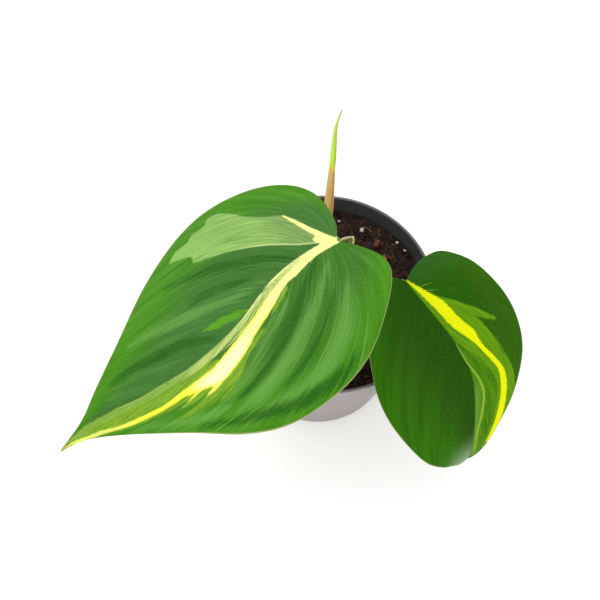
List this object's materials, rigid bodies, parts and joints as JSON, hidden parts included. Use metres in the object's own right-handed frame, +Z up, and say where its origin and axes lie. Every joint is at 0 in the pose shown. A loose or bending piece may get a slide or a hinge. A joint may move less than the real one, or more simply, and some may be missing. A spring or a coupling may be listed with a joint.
{
  "type": "potted philodendron",
  "caption": "Young philodendron cutting with heart-shaped variegated leaves and a new spear, rooted in potting mix in a thin round nursery pot that stands on its flat base",
  "frame": {"origin": "centre of the pot's flat underside, on the surface that the pot stands on", "axes": "+Z up; -Y is the front, the side both leaves lean towards; +X is to the right seen from the front"},
  "size_m": [0.1633, 0.1352, 0.1557],
  "materials": {
    "pot_plastic": "satin",
    "soil": "matte",
    "old_stem": "matte",
    "green_stem": "satin",
    "leaf": "satin",
    "sheath": "matte",
    "rolled_leaf": "satin",
    "root": "matte",
    "perlite": "matte",
    "bark": "matte"
  },
  "bodies": {
    "root": {"pot": "pot_plastic", "soil": "soil", "old_stem": "old_stem", "shoot": "green_stem", "large_leaf_blade": "leaf", "small_leaf_blade": "leaf", "large_leaf_stalk": "green_stem", "small_leaf_stalk": "green_stem", "spear_sheath": "sheath", "rolled_leaf": "rolled_leaf", "root_1": "root", "root_2": "root", "root_3": "root", "root_4": "root", "root_5": "root", "perlite_1": "perlite", "perlite_2": "perlite", "perlite_3": "perlite", "perlite_4": "perlite", "perlite_5": "perlite", "perlite_6": "perlite", "perlite_7": "perlite", "perlite_8": "perlite", "perlite_9": "perlite", "perlite_10": "perlite", "perlite_11": "perlite", "perlite_12": "perlite", "bark_1": "bark", "bark_2": "bark", "bark_3": "bark", "bark_4": "bark", "bark_5": "bark", "bark_6": "bark", "bark_7": "bark", "bark_8": "bark"}
  },
  "joints": []
}
